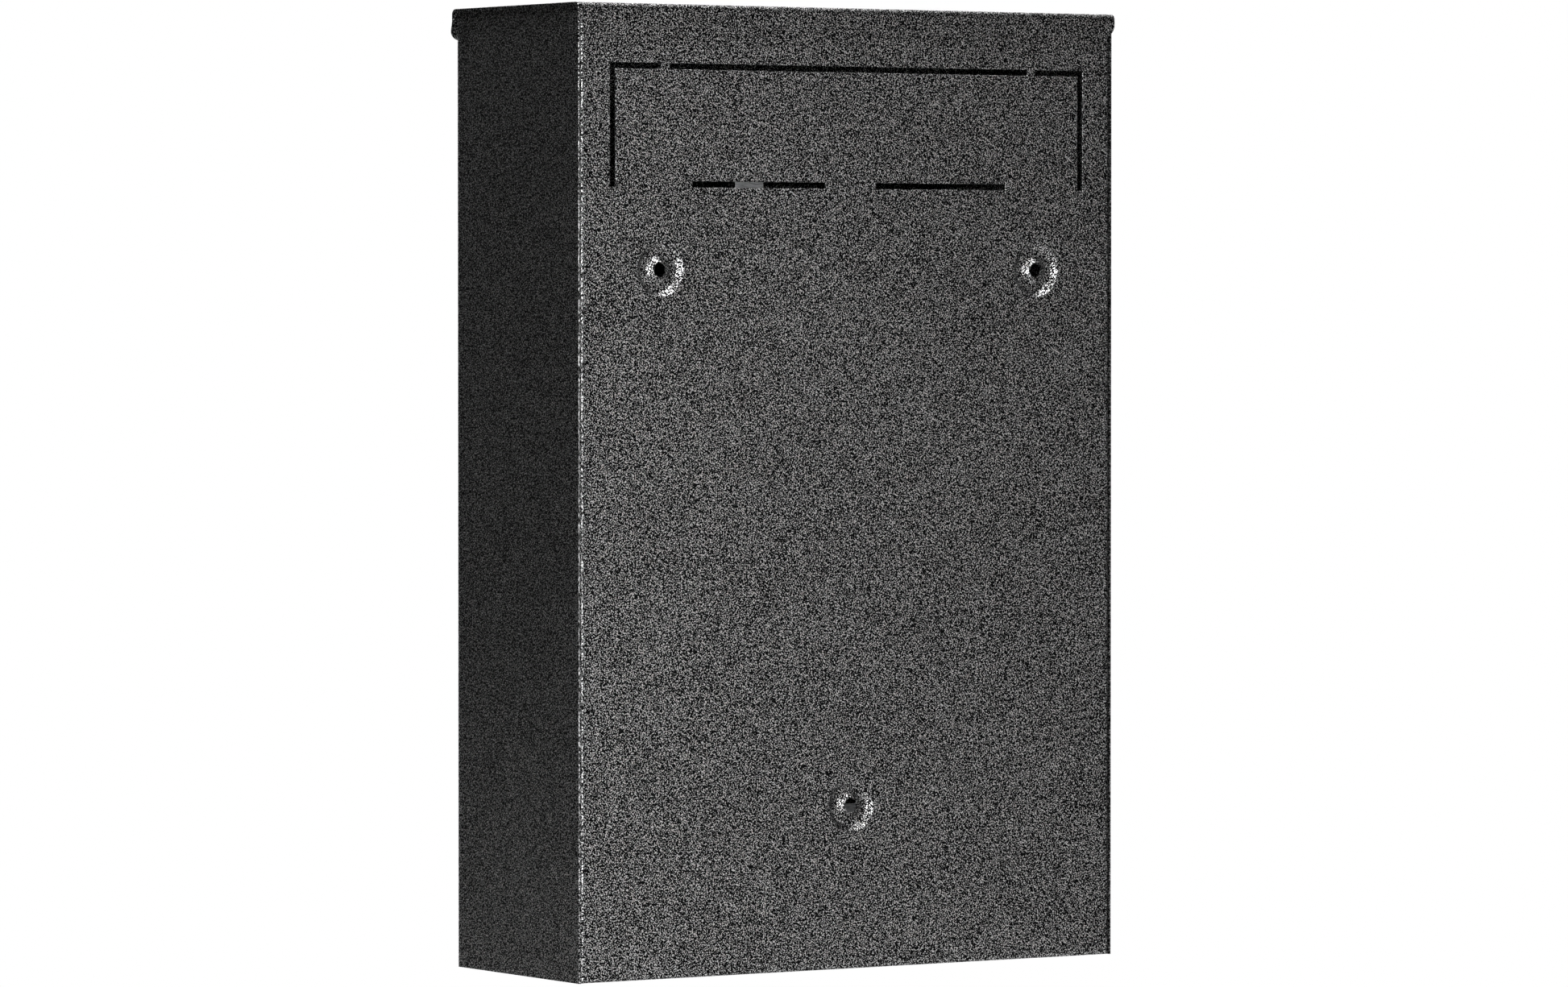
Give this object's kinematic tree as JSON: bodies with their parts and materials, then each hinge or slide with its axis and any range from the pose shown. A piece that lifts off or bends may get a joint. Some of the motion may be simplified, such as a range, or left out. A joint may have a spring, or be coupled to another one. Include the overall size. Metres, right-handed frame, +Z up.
{
  "type": "wall mounted mailbox",
  "caption": "Slim sheet-steel wall mailbox with a fixed roof, an inward mouth flap, a locked drop-down door and a letter-sized knock-out in its back.",
  "frame": {"origin": "midway between the two upper wall screws, on the flat rear face", "axes": "+Y towards the wall, out of the rear face; +Z up; +X to the right of someone at the wall looking out, so the front and its door face -Y"},
  "size_m": [0.2616, 0.1011, 0.392],
  "materials": {
    "hammered_coat": "silver-black vein powder coat, semi-gloss",
    "zinc": "bright zinc plated",
    "chrome_plate": "satin chrome plated",
    "rubber": "matt",
    "black_plastic": "fine satin",
    "card": "matt",
    "clear_window": "clear polished plastic"
  },
  "bodies": {
    "shell": {"body_wrap": "hammered_coat", "back_panel": "hammered_coat", "bottom_panel": "hammered_coat", "roof_cover": "hammered_coat", "lock_rail": "hammered_coat", "door_buffers": "rubber", "flap_rod": "zinc", "flap_bracket_right": "zinc", "flap_bracket_left": "zinc", "flap_rod_clips": "zinc", "hinge_left_body_leaf": "zinc", "hinge_right_body_leaf": "zinc", "hinge_left_pin": "zinc", "hinge_right_pin": "zinc", "hinge_body_rivets": "zinc"},
    "flap": {"mouth_flap": "hammered_coat"},
    "door": {"door": "hammered_coat", "hinge_left_door_leaf": "zinc", "hinge_right_door_leaf": "zinc", "hinge_door_rivets": "zinc", "lock_housing": "chrome_plate", "lock_nut": "zinc", "name_frame": "black_plastic", "name_card": "card", "name_window": "clear_window"},
    "lock": {"lock_plug": "chrome_plate", "lock_cam": "zinc", "cam_washer": "zinc", "cam_screw": "zinc"}
  },
  "joints": [
    {"name": "flap_hinge", "type": "hinge", "parent": "shell", "child": "flap", "pos_m": [0, -0.0923, 0.0937], "axis": [1, 0, 0], "range_deg": [0, 80]},
    {"name": "door_hinge", "type": "hinge", "parent": "shell", "child": "door", "pos_m": [0, -0.0962, -0.23855], "axis": [1, 0, 0], "range_deg": [0, 160]},
    {"name": "lock_turn", "type": "hinge", "parent": "door", "child": "lock", "pos_m": [0, -0.096, 0.0008], "axis": [0, 1, 0], "range_deg": [0, 90]}
  ]
}
